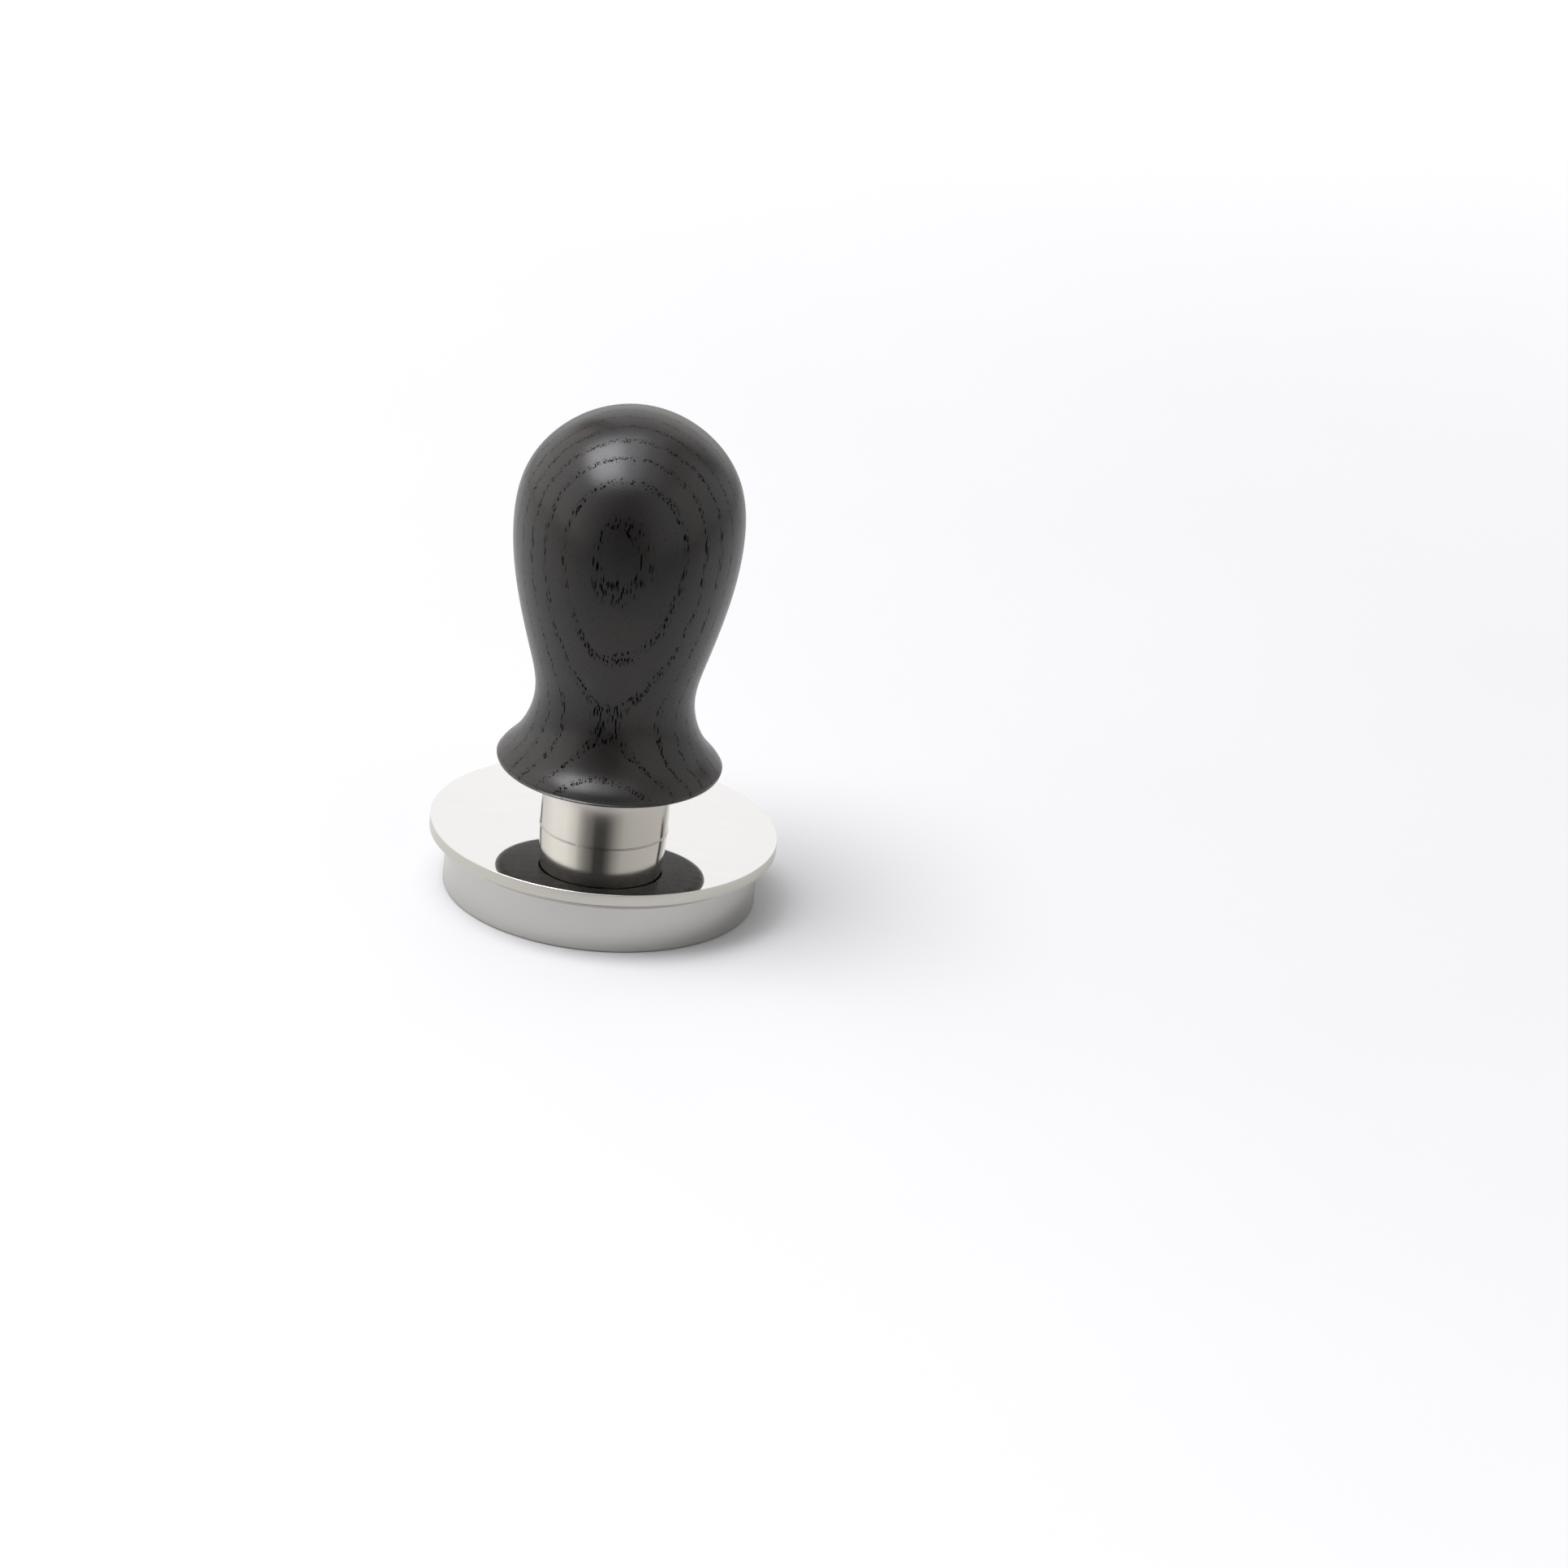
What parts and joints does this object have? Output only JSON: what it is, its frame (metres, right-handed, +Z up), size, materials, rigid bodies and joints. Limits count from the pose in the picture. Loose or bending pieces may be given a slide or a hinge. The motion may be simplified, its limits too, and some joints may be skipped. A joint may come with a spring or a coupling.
{
  "type": "espresso tamper",
  "caption": "Calibrated self-levelling espresso tamper: turned wooden grip, satin neck, thin mirror levelling plate and a flat tamping disc, with sprung slides.",
  "frame": {"origin": "centre of the flat tamping face, which the tamper stands on", "axes": "+Z up along the slides' common axis, towards the dome of the grip; the part is round, so X and Y are free"},
  "size_m": [0.065, 0.065, 0.0952],
  "materials": {
    "stained_wood": "open-grained oak, stained charcoal, satin oil",
    "mirror_steel": "mirror polished stainless steel",
    "turned_steel": "fine turned satin stainless steel",
    "brushed_base": "turned stainless steel, satin face",
    "plain_steel": "machined steel",
    "spring_wire": "drawn spring steel",
    "turned_aluminium": "machined aluminium",
    "insert_brass": "machined brass",
    "bush_bronze": "sintered bronze",
    "slide_polymer": "moulded low-friction polymer",
    "black_rubber": "matt moulded rubber"
  },
  "bodies": {
    "base": {"tamping_base": "brushed_base", "bumper_ring": "black_rubber", "rod_shim": "plain_steel", "piston_rod": "plain_steel", "spring_collar": "plain_steel", "collar_clip": "spring_wire", "piston_head": "turned_aluminium", "piston_ring": "slide_polymer", "lock_washer": "spring_wire", "piston_nut": "plain_steel", "main_spring": "spring_wire", "levelling_spring": "spring_wire"},
    "leveller": {"levelling_plate": "mirror_steel", "neck_sleeve": "turned_steel", "guide_bush": "slide_polymer", "plate_screws": "plain_steel"},
    "handle": {"wood_handle": "stained_wood", "threaded_insert": "insert_brass", "handle_stud": "plain_steel", "spring_housing": "turned_aluminium", "housing_cap": "turned_aluminium", "cap_bush": "bush_bronze", "stop_washer": "black_rubber", "spring_seat": "plain_steel", "preload_shim_1": "plain_steel", "preload_shim_2": "plain_steel"}
  },
  "joints": [
    {"name": "leveller_slide", "type": "slide", "parent": "base", "child": "leveller", "axis": [0, 0, 1], "range_m": [0, 0.007], "stiffness_N_per_m": 400, "springref_m": -0.006, "deforming": ["levelling_spring"]},
    {"name": "handle_press", "type": "slide", "parent": "base", "child": "handle", "axis": [0, 0, -1], "range_m": [0, 0.003], "stiffness_N_per_m": 14100, "springref_m": -0.0049, "deforming": ["main_spring"]}
  ]
}
